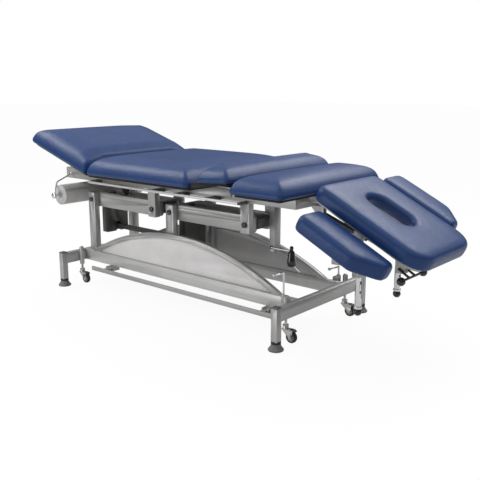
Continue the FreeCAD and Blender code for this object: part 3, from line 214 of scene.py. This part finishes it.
VINYL = vinyl_material()
SILVER = painted("silver_coat", (0.47, 0.465, 0.46), rough=0.34, metal=0.35, grain=0.02)
PANEL = painted("pale_panel", (0.86, 0.845, 0.84), rough=0.30, metal=0.0, grain=0.05)
# Lighter copy of the silver coat. On the side rails the lighter tone is painted light, standing in for
# the light on their front faces; on the side bar it is the bar's own paler finish.
LIT_RAIL_PALE_BAR = painted("silver_lit_rail_pale_bar", (0.74, 0.735, 0.725), rough=0.32, metal=0.30, grain=0.02)
DARK = painted("dark_coat", (0.085, 0.083, 0.08), rough=0.42, metal=0.15)
CAP = plastic("grey_cap", (0.13, 0.135, 0.14), rough=0.5)
FOOT = plastic("grey_foot", (0.17, 0.175, 0.18), rough=0.5, grain=0.25)
BLACK = plastic("black_gloss", (0.009, 0.009, 0.010), rough=0.17, grain=0.04, coat=0.3)
SATIN = plastic("black_satin", (0.014, 0.014, 0.016), rough=0.42, grain=0.2)
RUBBER = plastic("rubber", (0.018, 0.018, 0.018), rough=0.6, grain=0.3)
HUB = plastic("hub_grey", (0.34, 0.34, 0.33), rough=0.45)
CHROME = metal("chrome", (0.74, 0.74, 0.74), 0.09)
ZINC = metal("plated_steel", (0.52, 0.51, 0.49), 0.22, grain=0.12)
BOARD = plastic("board_cloth", (0.020, 0.020, 0.022), rough=0.85, grain=0.6, scale=500.0)
PAPER = plastic("paper", (0.66, 0.65, 0.64), rough=0.9, grain=0.35, scale=300.0)

# Mesh helpers


def add(name, mesh, body, material, slot=None):
    o = bpy.data.objects.new(name, mesh)
    scene.collection.objects.link(o)
    mesh.materials.clear()
    mesh.materials.append(material)
    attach(o, body)
    if slot:
        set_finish(o, slot)
    return o


def apply_modifiers(o):
    dg = bpy.context.evaluated_depsgraph_get()
    shown = o.evaluated_get(dg)
    made = bpy.data.meshes.new_from_object(shown, preserve_all_data_layers=True, depsgraph=dg)
    old = o.data
    o.modifiers.clear()
    o.data = made
    bpy.data.meshes.remove(old)


def smooth_by_angle(mesh, angle):
    for poly in mesh.polygons:
        poly.use_smooth = True
    mesh.set_sharp_from_angle(angle=math.radians(angle))


def finished(bm, name, angle):
    """The mesh of bm, smooth up to angle in degrees."""
    mesh = bpy.data.meshes.new(name)
    bm.to_mesh(mesh)
    bm.free()
    smooth_by_angle(mesh, angle)
    return mesh


def clean_copy(node, name):
    mesh = frame["nodes"][node].data.copy()
    mesh.name = name
    bm = bmesh.new()
    bm.from_mesh(mesh)
    bmesh.ops.remove_doubles(bm, verts=bm.verts, dist=1e-5)
    bmesh.ops.dissolve_limit(bm, angle_limit=math.radians(0.6), verts=bm.verts, edges=bm.edges)
    bm.to_mesh(mesh)
    bm.free()
    for layer in list(mesh.color_attributes):
        mesh.color_attributes.remove(layer)
    return mesh


def record_slot(node):
    return next(s["material_slot"] for s in record["subparts"] if s["node"] == node)


def dress(node, material, width):
    """The CAD node's form with its edges broken, in its own finish."""
    name = node + "_skin"
    o = add(name, clean_copy(node, name), body_of_node[node], material, record_slot(node))
    if width:
        b = o.modifiers.new("edge", "BEVEL")
        b.width = width
        b.segments = 2
        b.limit_method = "ANGLE"
        b.angle_limit = math.radians(30)
        b.harden_normals = True
        b.use_clamp_overlap = True
        apply_modifiers(o)
    smooth_by_angle(o.data, 38.0)
    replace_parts(o, node)
    return o


def basis(axis):
    w = Vector(axis).normalized()
    u = w.orthogonal().normalized()
    return u, w.cross(u), w


def lathe(name, profile, origin, axis, body, material, slot, segments=48):
    """A turned piece: profile is (radius, height) pairs along axis from origin, in millimetres."""
    u, v, w = basis(axis)
    bm = bmesh.new()
    rings = []
    for r, h in profile:
        centre = origin + w * (h / 1000)
        if r < 1e-6:
            rings.append([bm.verts.new(centre)])
            continue
        ring = []
        for i in range(segments):
            a = 2 * math.pi * i / segments
            ring.append(bm.verts.new(centre + (u * math.cos(a) + v * math.sin(a)) * (r / 1000)))
        rings.append(ring)
    for one, two in zip(rings, rings[1:]):
        if len(one) == 1 and len(two) == 1:
            continue
        for i in range(segments):
            j = (i + 1) % segments
            if len(one) == 1:
                bm.faces.new((one[0], two[i], two[j]))
            elif len(two) == 1:
                bm.faces.new((one[i], two[0], one[j]))
            else:
                bm.faces.new((one[i], two[i], two[j], one[j]))
    bmesh.ops.recalc_face_normals(bm, faces=bm.faces)
    return add(name, finished(bm, name, 32.0), body, material, slot)


def rounded(profile, radius=1.0):
    """The same profile with its inner corners rounded."""
    steps = 3
    out = [profile[0]]
    for before, here, after in zip(profile, profile[1:], profile[2:]):
        a, h, c = Vector(before), Vector(here), Vector(after)
        cut = min(radius, (a - h).length * 0.45, (c - h).length * 0.45)
        p, q = h + (a - h).normalized() * cut, h + (c - h).normalized() * cut
        for i in range(steps + 1):
            t = i / steps
            out.append(tuple(p * (1 - t) ** 2 + h * 2 * t * (1 - t) + q * t * t))
    out.append(profile[-1])
    return out


def rod(name, ends, radius, body, material, slot, segments):
    """A straight round rod between two points."""
    u, v, w = basis(ends[1] - ends[0])
    bm = bmesh.new()
    rings = []
    for p in ends:
        ring = []
        for k in range(segments):
            a = 2 * math.pi * k / segments
            ring.append(bm.verts.new(p + (u * math.cos(a) + v * math.sin(a)) * radius))
        rings.append(ring)
    one, two = rings
    for i in range(segments):
        j = (i + 1) % segments
        bm.faces.new((one[i], one[j], two[j], two[i]))
    bm.faces.new(list(reversed(one)))
    bm.faces.new(two)
    bmesh.ops.recalc_face_normals(bm, faces=bm.faces)
    return add(name, finished(bm, name, 40.0), body, material, slot)


def slab(name, low, high, body, material, slot, width, segments=2, turn=None, about=None):
    """A block with broken edges."""
    bm = bmesh.new()
    bmesh.ops.create_cube(bm, size=1.0)
    size, centre = high - low, (high + low) / 2
    for v in bm.verts:
        v.co = Vector([v.co[i] * size[i] + centre[i] for i in range(3)])
    bmesh.ops.bevel(bm, geom=bm.edges[:], offset=width, segments=segments, profile=0.6, affect="EDGES")
    if turn is not None:
        bmesh.ops.rotate(bm, verts=bm.verts, cent=about, matrix=Matrix.Rotation(turn, 3, "Y"))
    return add(name, finished(bm, name, 40.0), body, material, slot)


def joined(name, objects):
    """Several objects of one body and finish as one piece."""
    bm = bmesh.new()
    for o in objects:
        o.data.transform(o.matrix_world)
        bm.from_mesh(o.data)
    first = objects[0]
    body, slot = first["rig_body"], first.get("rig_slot")
    mat = first.data.materials[0]
    for o in objects:
        bpy.data.objects.remove(o)
    return add(name, finished(bm, name, 35.0), body, mat, slot)


# Cushions


LEG_TILT = math.radians(17.3)
LEG_PIVOT = (-444, 9, 590)

# The droop of the leg pad's ends, in metres
DROOP_FROM, DROOP_DEPTH = 0.060, 0.075
END_FALL, END_REACH = 0.030, 0.120
TIP_FALL, TIP_FROM, TIP_REACH = 0.010, 0.330, 0.150
CORNER_FALL, CORNER_FROM, CORNER_REACH = 0.014, 0.150, 0.160

# The swelling of the pads
SIDE_RISE = 0.0015
CLOTH_FRAMES = 8
EVENING_SWEEPS = 30
VOXEL_SWEEPS = 4


def eased(t):
    t = min(1.0, max(0.0, t))
    return t * t * (3 - 2 * t)


def leg_droop(o):
    """Rolls the leg pad's pivot end down to the seat, and its far tip corner with it."""
    pivot = P(*LEG_PIVOT)
    along = Vector((-math.cos(LEG_TILT), 0, math.sin(LEG_TILT)))
    up = Vector((math.sin(LEG_TILT), 0, math.cos(LEG_TILT)))
    for v in o.data.vertices:
        d = v.co - pivot
        reach, high, out = d.dot(along), d.dot(up), d.y
        share = eased((high - DROOP_FROM) / DROOP_DEPTH)
        fall = END_FALL * eased(1 - reach / END_REACH)
        tip = eased((reach - TIP_FROM) / TIP_REACH)
        fall += TIP_FALL * tip + CORNER_FALL * tip * eased((out - CORNER_FROM) / CORNER_REACH)
        v.co -= up * (fall * share)


def upholster(node, voxel, rise):
    """A filled vinyl pad in the space that its CAD solid holds."""
    name = node + "_pad"
    mesh = clean_copy(node, name)
    o = bpy.data.objects.new(name, mesh)
    scene.collection.objects.link(o)
    r = o.modifiers.new("remesh", "REMESH")
    r.mode = "VOXEL"
    r.voxel_size = voxel
    s = o.modifiers.new("ease", "SMOOTH")
    s.factor = 0.5
    s.iterations = VOXEL_SWEEPS
    apply_modifiers(o)
    swell(o, rise)
    if node == "leg_cushion":
        leg_droop(o)
    sub = o.modifiers.new("fine", "SUBSURF")
    sub.levels = sub.render_levels = 1
    apply_modifiers(o)
    for poly in o.data.polygons:
        poly.use_smooth = True
    o.data.materials.clear()
    o.data.materials.append(VINYL)
    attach(o, body_of_node[node])
    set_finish(o, record_slot(node))
    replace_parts(o, node)


def vertex_rows(mesh, field):
    """A field of all the vertices as rows of three."""
    flat = np.zeros(len(mesh.vertices) * 3)
    mesh.vertices.foreach_get(field, flat)
    return flat.reshape(-1, 3)


def swell(o, rise):
    """Air pressure under the cover, with its outward moves evened and kept small."""
    count = len(o.data.vertices)
    before = vertex_rows(o.data, "co")
    cloth = o.modifiers.new("cloth", "CLOTH")
    cs = cloth.settings
    cs.quality = 3
    cs.mass = 0.4
    cs.tension_stiffness = cs.compression_stiffness = 18.0
    cs.shear_stiffness = 9.0
    cs.bending_stiffness = 1.2
    cs.use_pressure = True
    cs.uniform_pressure_force = 4.0
    cs.effector_weights.gravity = 0.0
    cloth.collision_settings.use_collision = False
    cloth.collision_settings.use_self_collision = False
    for f in range(1, CLOTH_FRAMES + 1):
        scene.frame_set(f)
    shown = o.evaluated_get(bpy.context.evaluated_depsgraph_get())
    after = vertex_rows(shown.to_mesh(), "co")
    shown.to_mesh_clear()
    o.modifiers.clear()
    scene.frame_set(1)
    normal = vertex_rows(o.data, "normal")
    most = SIDE_RISE + (rise - SIDE_RISE) * np.clip(normal[:, 2], 0.0, 1.0)
    amount = np.clip(((after - before) * normal).sum(axis=1), 0.0, most)
    amount *= np.clip(1.0 + 2.0 * normal[:, 2], 0.0, 1.0)
    pairs = np.zeros(len(o.data.edges) * 2, dtype=np.int64)
    o.data.edges.foreach_get("vertices", pairs)
    one, two = pairs.reshape(-1, 2).T
    share = np.bincount(one, minlength=count) + np.bincount(two, minlength=count)
    for _ in range(EVENING_SWEEPS):
        total = np.bincount(one, amount[two], count) + np.bincount(two, amount[one], count)
        amount = total / np.maximum(share, 1)
    o.data.vertices.foreach_set("co", (before + normal * amount[:, None]).ravel())
    o.data.update()


for node, voxel, rise in (
    ("seat_cushion", 0.0060, 0.006),
    ("leg_cushion", 0.0060, 0.006),
    ("chest_cushion", 0.0055, 0.006),
    ("narrow_cushion", 0.0055, 0.005),
    ("head_cushion", 0.0050, 0.005),
    ("armrest_cushion_near", 0.0050, 0.005),
    ("armrest_cushion_far", 0.0050, 0.005),
):
    upholster(node, voxel, rise)

# Frame pieces, from the CAD forms: node, finish and width of the broken edges in metres

EDGE = 0.0012
CORNERS = (("foot_near", -1, -1), ("foot_far", -1, 1), ("head_near", 1, -1), ("head_far", 1, 1))
FINISHES = [(node, SILVER, EDGE) for node in (
    "end_frame_foot", "end_frame_head", "side_arches", "lift_posts", "upper_frame",
    "hangers", "link_arms_foot", "link_arms_head", "head_frame", "armrest_bracket_near",
    "armrest_bracket_far", "base_fittings", "actuator_mount",
)]
FINISHES += [
    # The side rails take the lighter silver copy: painted light on their lit front faces.
    ("side_rails", LIT_RAIL_PALE_BAR, EDGE),
    ("pedal_bar", SILVER, 0.0018),
    ("arch_panels", PANEL, 0.0015),
    ("leg_caps", CAP, 0.0010),
    ("crank_foot", DARK, 0.0015),
    ("crank_head", DARK, 0.0015),
    ("drawbar", DARK, EDGE),
    ("deck_boards", BOARD, 0.0015),
    ("leg_board", BOARD, 0.0010),
    ("narrow_board", BOARD, 0.0010),
    ("base_pivot_bolts", BLACK, 0.0010),
    ("upper_pins", BLACK, 0.0006),
    ("actuator_body", SATIN, EDGE),
    ("actuator_rod", CHROME, 0.0005),
    ("strut_cylinder", SATIN, 0.0006),
    ("strut_rod", CHROME, 0.0004),
    ("armrest_tubes", CHROME, 0.0005),
    ("roll_holder", CHROME, 0.0006),
    ("paper_roll", PAPER, 0.0006),
    ("tilt_handle", BLACK, 0.0),
    ("upright_lever_near", CHROME, 0.0),
    ("upright_lever_far", CHROME, 0.0),
]
for place, _, _ in CORNERS:
    FINISHES += [("castor_stem_" + place, ZINC, 0.0004), ("castor_fork_" + place, ZINC, 0.0006)]
for node, finish, width in FINISHES:
    dress(node, finish, width)

# Turned, bent and small pieces: profiles are (radius, height) in millimetres

UP = (0, 0, 1)


def turned(name, profile, place, axis, body, material, slot, segments=40):
    """A turned piece with its inner corners a little rounded."""
    return lathe(name, rounded(profile), P(*place), axis, body, material, slot, segments)


LEG_X, LEG_Y = 702, 320
FOOT_PROFILE = (
    (0, 0), (28, 0), (31.5, 1.5), (32.5, 4.5), (32, 8), (27, 13),
    (23, 19), (20.5, 26), (19, 30), (0, 30),
)
FOOT_RING = ((0, 30), (20.5, 30), (20.8, 31.5), (20.8, 36.5), (20, 38), (0, 38))

feet, collars = [], []
for place, along, way in CORNERS:
    spot = P(along * LEG_X, way * LEG_Y, 0)
    foot = rounded(FOOT_PROFILE, 2.0)
    ring = rounded(FOOT_RING, 0.8)
    feet.append(lathe("foot_" + place, foot, spot, UP, "base", FOOT, "foot_grey"))
    collars.append(lathe("foot_collar_" + place, ring, spot, UP, "base", RUBBER, "black_rubber"))
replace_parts(joined("floor_feet", feet), "foot_pads")
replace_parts(joined("foot_collars", collars), "foot_rings")

# Ball ends and collars of the armrest tubes
TUBE_X, TUBE_Y = 970, 155
KNOB_RADIUS, KNOB_Z = 16.5, 180
KNOB_STEPS = 18
COLLAR_Z = 190.8
COLLAR = ((9, 0), (13.5, 0), (16.3, 2.5), (16.3, 9.5), (14.5, 12), (8, 12))
turns = [math.pi * k / KNOB_STEPS for k in range(KNOB_STEPS + 1)]
ball = [(KNOB_RADIUS * math.sin(turn), -KNOB_RADIUS * math.cos(turn)) for turn in turns]
for side, way in (("near", -1), ("far", 1)):
    node = "tube_knob_" + side
    spot = P(TUBE_X, way * TUBE_Y, KNOB_Z)
    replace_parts(lathe("knob_ball_" + side, ball, spot, UP, node, BLACK, "knob_black"), node)
    place = (TUBE_X, way * TUBE_Y, COLLAR_Z)
    turned("knob_collar_" + side, COLLAR, place, UP, node, CHROME, "chrome")

# Lever with the pear grip
GRIP_X, GRIP_Y = 558, -30
LEVER_X, LEVER_Z = 446, 330
HUB_Y = -26.2
PEAR = (
    (0, 260), (9, 260), (15, 262), (19.2, 268), (20.4, 277), (19.4, 289), (17, 303), (14.6, 318),
    (13.2, 327), (10.5, 331), (7.5, 333), (6.5, 336), (8.3, 340), (8.8, 345), (7, 350.5),
    (3.5, 353), (0, 353.5),
)
LEVER_HUB = ((0, 0), (7.5, 0), (8.6, 1.2), (8.6, 3.8), (0, 3.8))
pear = rounded(PEAR, 2.2)
grip_spot = P(GRIP_X, GRIP_Y, 0)
grip = lathe("pear_grip", pear, grip_spot, UP, "hand_lever", BLACK, "knob_black", 48)
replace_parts(grip, "hand_lever")
rod_ends = P(LEVER_X, GRIP_Y, LEVER_Z), P(GRIP_X - 7, GRIP_Y, LEVER_Z)
spur_ends = P(GRIP_X + 8, GRIP_Y, 272), P(GRIP_X + 46, GRIP_Y, 246)
rod("grip_rod", rod_ends, 0.004, "hand_lever", CHROME, "chrome", 20)
rod("grip_spur", spur_ends, 0.003, "hand_lever", CHROME, "chrome", 16)
hub_place = (LEVER_X, HUB_Y, LEVER_Z)
turned("lever_hub", LEVER_HUB, hub_place, (0, -1, 0), "hand_lever", BLACK, "knob_black")

# Side bar: a bright bar on dark stand-offs, with a dark hooked end
BAR_X, BAR_Y, BAR_Z = (-620, 398), (-205, -193), (537, 549)
STAND_X, STAND_REACH = (-590, -118, 45, 240), 23
STAND_Y, STAND_Z = (-193.2, -152.6), (540, 552)
HOOK_X, HOOK_Z = (398, 412), (536.6, 549.4)


def upper_slab(name, x, y, z, material, slot, width, segments):
    """A block on the upper frame, given by its three spans in millimetres."""
    low, high = (P(*point) for point in zip(x, y, z))
    return slab(name, low, high, "upper_body", material, slot, width, segments)


bar_run = upper_slab("bar_run", BAR_X, BAR_Y, BAR_Z, LIT_RAIL_PALE_BAR, "silver", 0.0022, 3)
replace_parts(joined("side_bar_run", [bar_run]), "side_bar")
stands = []
for x in STAND_X:
    stand_x = (x - STAND_REACH, x + STAND_REACH)
    stands.append(upper_slab("stand", stand_x, STAND_Y, STAND_Z, DARK, "dark_steel", 0.0015, 2))
hook_y = (BAR_Y[0], STAND_Y[1])
stands.append(upper_slab("stand", HOOK_X, hook_y, HOOK_Z, DARK, "dark_steel", 0.003, 3))
joined("side_bar_stands", stands)

# Castors: tyre, hub, axle caps and brake tab
CASTOR_X, CASTOR_Y = 676, 222
TRAIL, AXLE_Z = 30, 30
CAP_Y = 12.9
BRAKE_X, BRAKE_Y, BRAKE_Z = (-2, 22), (-10.5, 10.5), (61, 64.5)
BRAKE_TURN, BRAKE_HINGE_Z = math.radians(16), 62
TYRE = (
    (17, -9), (21.5, -9), (24, -7.6), (25, -4.5), (25, 4.5), (24, 7.6), (21.5, 9), (17, 9), (17, -9),
)
WHEEL_HUB = (
    (4.1, -9.2), (8, -9.2), (8.6, -7), (15, -6.2), (17.1, -8.4), (17.1, 8.4), (15, 6.2), (8.6, 7),
    (8, 9.2), (4.1, 9.2), (4.1, -9.2),
)
AXLE_CAP = ((0, 0), (5.6, 0), (5.6, 2.2), (4, 3.4), (0, 3.6))
ACROSS = (0, 1, 0)
for place, along, way in CORNERS:
    y = way * CASTOR_Y
    x = along * CASTOR_X + TRAIL
    wheel = "castor_wheel_" + place
    fork = "castor_fork_" + place
    axle = P(x, y, AXLE_Z)
    tyre = rounded(TYRE, 1.2)
    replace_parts(lathe("tyre_" + place, tyre, axle, ACROSS, wheel, RUBBER, "wheel", 56), wheel)
    lathe("hub_" + place, WHEEL_HUB, axle, ACROSS, wheel, HUB, "wheel")
    for letter, side in (("a", -1), ("b", 1)):
        name = "axle_cap_%s_%s" % (place, letter)
        cap_place = (x, y + side * CAP_Y, AXLE_Z)
        turned(name, AXLE_CAP, cap_place, (0, side, 0), fork, ZINC, "castor_chrome", 24)
    low, high = (P(x + dx, y + dy, z) for dx, dy, z in zip(BRAKE_X, BRAKE_Y, BRAKE_Z))
    hinge = P(x, y, BRAKE_HINGE_Z)
    slab("brake_" + place, low, high, fork, SATIN, "wheel", EDGE, 2, BRAKE_TURN, hinge)

# Plugs in the open tops of the posts
PLUG_X, PLUG_REACH = (-660, -70), 24.6
PLUG_Y = ((-153.6, -124.4), (114.4, 143.6))
PLUG_Z = (477, 480.6)
plugs = []
for x in PLUG_X:
    for y in PLUG_Y:
        low, high = P(x - PLUG_REACH, y[0], PLUG_Z[0]), P(x + PLUG_REACH, y[1], PLUG_Z[1])
        plugs.append(slab("plug", low, high, "base", CAP, "cap_grey", 0.001))
joined("post_plugs", plugs)

# Stage, lights and camera

WHITE = (1, 1, 1, 1)
FLOOR_HALF = 30
FLOOR_GREY = (0.55, 0.55, 0.55)
FLOOR_GLOW, FLOOR_MIRROR_GLOW, FLOOR_LIGHT = 0.88, 0.40, 1.06
SKY_FROM, SKY_TO = 0.18, 0.85
SKY_LOW, SKY_HIGH = 0.13, 1.05
CAMERA_PLACE = (2296.5, -2388.9, 1040)
CAMERA_DOWN, CAMERA_TURN = 12.72, 40.75
LENS, SENSOR = 52.24, 36.0

# Name, place, point aimed at, size and power of each lamp
LAMPS = (
    ("left_high", (-2.4, -0.9, 2.7), (-0.3, -0.2, 0.7), (1.3, 1.2), 30.0),
    ("front_low", (-1.2, -3.2, 0.5), (-0.1, 0, 0.25), (2.4, 0.8), 19.0),
    ("behind_head", (0.55, 1.70, 2.45), (1.05, -0.15, 0.45), (1.7, 1.6), 30.0),
)


def stage_material(name, color, glow, mirror_glow, strength):
    """A matt floor that keeps its shadow and looks white to the camera."""
    m, nt, b = new_material(name, color, 0.9)
    path = nt.nodes.new("ShaderNodeLightPath")
    light = nt.nodes.new("ShaderNodeEmission")
    light.inputs["Color"].default_value = WHITE
    light.inputs["Strength"].default_value = strength
    mix = nt.nodes.new("ShaderNodeMixShader")
    out = nt.nodes["Material Output"]
    mirrored = nt.nodes.new("ShaderNodeMath")
    mirrored.operation = "MAXIMUM"
    link(nt, path.outputs["Is Glossy Ray"], mirrored.inputs[0])
    link(nt, path.outputs["Is Transmission Ray"], mirrored.inputs[1])
    dim = nt.nodes.new("ShaderNodeMath")
    dim.operation = "MULTIPLY"
    dim.inputs[1].default_value = mirror_glow
    link(nt, mirrored.outputs[0], dim.inputs[0])
    amount = nt.nodes.new("ShaderNodeMath")
    amount.operation = "MULTIPLY_ADD"
    amount.inputs[1].default_value = glow
    link(nt, path.outputs["Is Camera Ray"], amount.inputs[0])
    link(nt, dim.outputs[0], amount.inputs[2])
    link(nt, amount.outputs[0], mix.inputs[0])
    link(nt, b.outputs[0], mix.inputs[1])
    link(nt, light.outputs[0], mix.inputs[2])
    link(nt, mix.outputs[0], out.inputs["Surface"])
    return m


floor_mesh = bpy.data.meshes.new("floor")
sides = ((-1, -1), (1, -1), (1, 1), (-1, 1))
floor_points = [(x * FLOOR_HALF, y * FLOOR_HALF, 0) for x, y in sides]
floor_mesh.from_pydata(floor_points, [], [(0, 1, 2, 3)])
floor_mesh.materials.append(
    stage_material("floor_white", FLOOR_GREY, FLOOR_GLOW, FLOOR_MIRROR_GLOW, FLOOR_LIGHT))
floor = bpy.data.objects.new("floor", floor_mesh)
scene.collection.objects.link(floor)

world = bpy.data.worlds.new("studio")
scene.world = world
world.use_nodes = True
nt = world.node_tree
bg = nt.nodes["Background"]
out = nt.nodes["World Output"]
geo = nt.nodes.new("ShaderNodeTexCoord")
sep = nt.nodes.new("ShaderNodeSeparateXYZ")
link(nt, geo.outputs["Generated"], sep.inputs[0])
height = ramp(nt, sep.outputs["Z"], SKY_FROM, SKY_TO, SKY_LOW, SKY_HIGH)
link(nt, height, bg.inputs["Strength"])
bg.inputs["Color"].default_value = WHITE
plain = nt.nodes.new("ShaderNodeBackground")
plain.inputs["Color"].default_value = WHITE
plain.inputs["Strength"].default_value = 1.0
path = nt.nodes.new("ShaderNodeLightPath")
mix = nt.nodes.new("ShaderNodeMixShader")
link(nt, path.outputs["Is Camera Ray"], mix.inputs[0])
link(nt, bg.outputs[0], mix.inputs[1])
link(nt, plain.outputs[0], mix.inputs[2])
link(nt, mix.outputs[0], out.inputs["Surface"])


def lamp(name, place, aim, size, power):
    data = bpy.data.lights.new(name, "AREA")
    data.shape = "RECTANGLE"
    data.size, data.size_y = size
    data.energy = power
    o = bpy.data.objects.new(name, data)
    scene.collection.objects.link(o)
    o.location = place
    o.rotation_euler = (Vector(aim) - Vector(place)).to_track_quat("-Z", "Y").to_euler()


for values in LAMPS:
    lamp(*values)

camera_data = bpy.data.cameras.new("camera")
camera_data.sensor_width = SENSOR
camera_data.lens = LENS
camera_data.clip_start = 0.05
camera_data.clip_end = 200.0
camera = bpy.data.objects.new("camera", camera_data)
scene.collection.objects.link(camera)
camera.location = P(*CAMERA_PLACE)
camera.rotation_euler = (math.radians(90 - CAMERA_DOWN), 0, math.radians(CAMERA_TURN))
scene.camera = camera
scene.view_settings.view_transform = "Standard"
